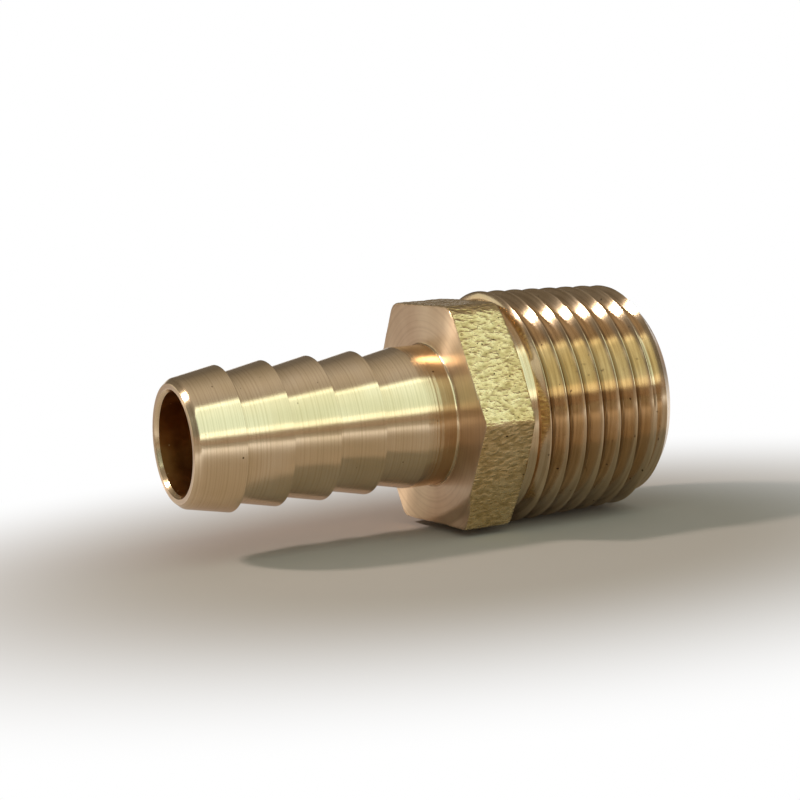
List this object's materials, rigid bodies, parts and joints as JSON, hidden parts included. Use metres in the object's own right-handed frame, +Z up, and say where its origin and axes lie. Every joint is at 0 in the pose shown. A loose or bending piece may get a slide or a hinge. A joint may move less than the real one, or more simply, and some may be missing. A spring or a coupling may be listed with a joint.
{
  "type": "hose barb tail",
  "caption": "Straight brass hose tail: a barbed end for a hose, a hexagon for a spanner and a male taper pipe thread, bored right through.",
  "frame": {"origin": "on the axis of the bore, in the plane of the hexagon's front face, the one that faces the hose", "axes": "+X along the bore axis from the barbed nose to the threaded end, +Z up, normal to the hexagon flat on top; the opposite flat faces down"},
  "size_m": [0.0446, 0.023, 0.0213],
  "materials": {
    "turned_brass": "turned, with rough as-forged flats on the hexagon"
  },
  "bodies": {
    "root": {"barb_tail_body": "turned_brass"}
  },
  "joints": []
}
